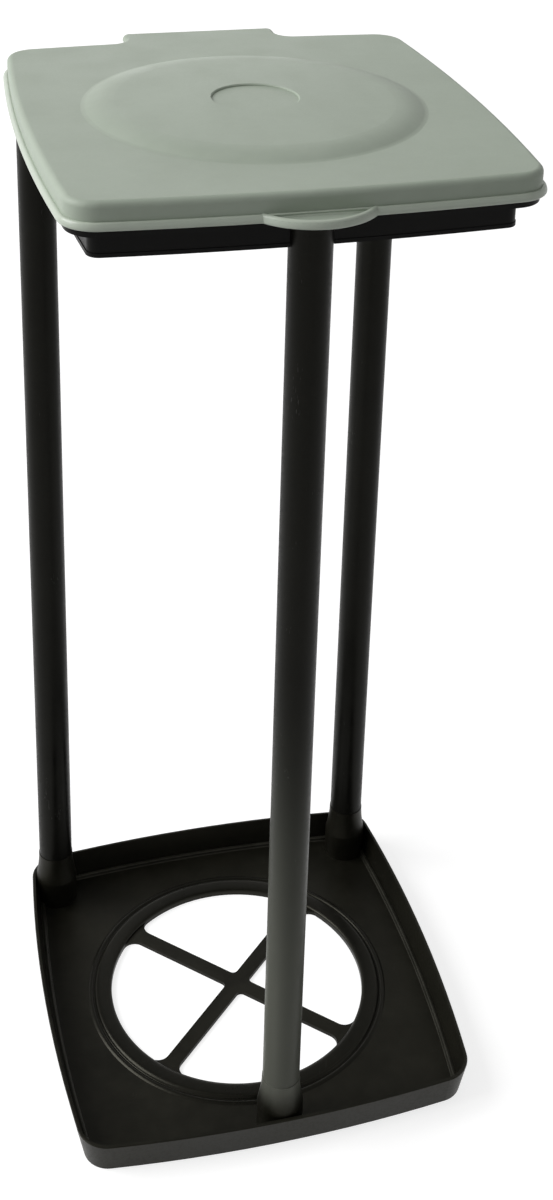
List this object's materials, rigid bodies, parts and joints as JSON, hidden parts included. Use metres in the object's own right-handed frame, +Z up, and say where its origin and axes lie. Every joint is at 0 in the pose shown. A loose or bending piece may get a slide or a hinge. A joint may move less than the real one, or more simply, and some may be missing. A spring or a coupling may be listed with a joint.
{
  "type": "bin bag holder",
  "caption": "Free-standing bag stand: a square tray base with a round cross-braced hole, three upright tubes, a bag ring and a hinged lid with a shallow dome.",
  "frame": {"origin": "on the floor, under the middle of the base", "axes": "+Z up, +Y from the finger tab towards the hinge, +X to the right seen from the front"},
  "size_m": [0.368, 0.4251, 0.8898],
  "materials": {
    "base_plastic": "black moulded plastic, fine satin grain",
    "leg_tube": "black extruded plastic tube, satin with fine draw lines",
    "ring_plastic": "black moulded plastic, satin",
    "lid_plastic": "grey-green moulded plastic, fine satin grain",
    "rod_steel": "plain drawn wire"
  },
  "bodies": {
    "stand": {"base": "base_plastic", "front_leg": "leg_tube", "rear_left_leg": "leg_tube", "rear_right_leg": "leg_tube", "bag_ring": "ring_plastic", "hinge_rod": "rod_steel"},
    "lid": {"lid": "lid_plastic"}
  },
  "joints": [
    {"name": "lid_hinge", "type": "hinge", "parent": "stand", "child": "lid", "pos_m": [0, 0.207, 0.868], "axis": [-1, 0, 0], "range_deg": [0, 105]}
  ]
}
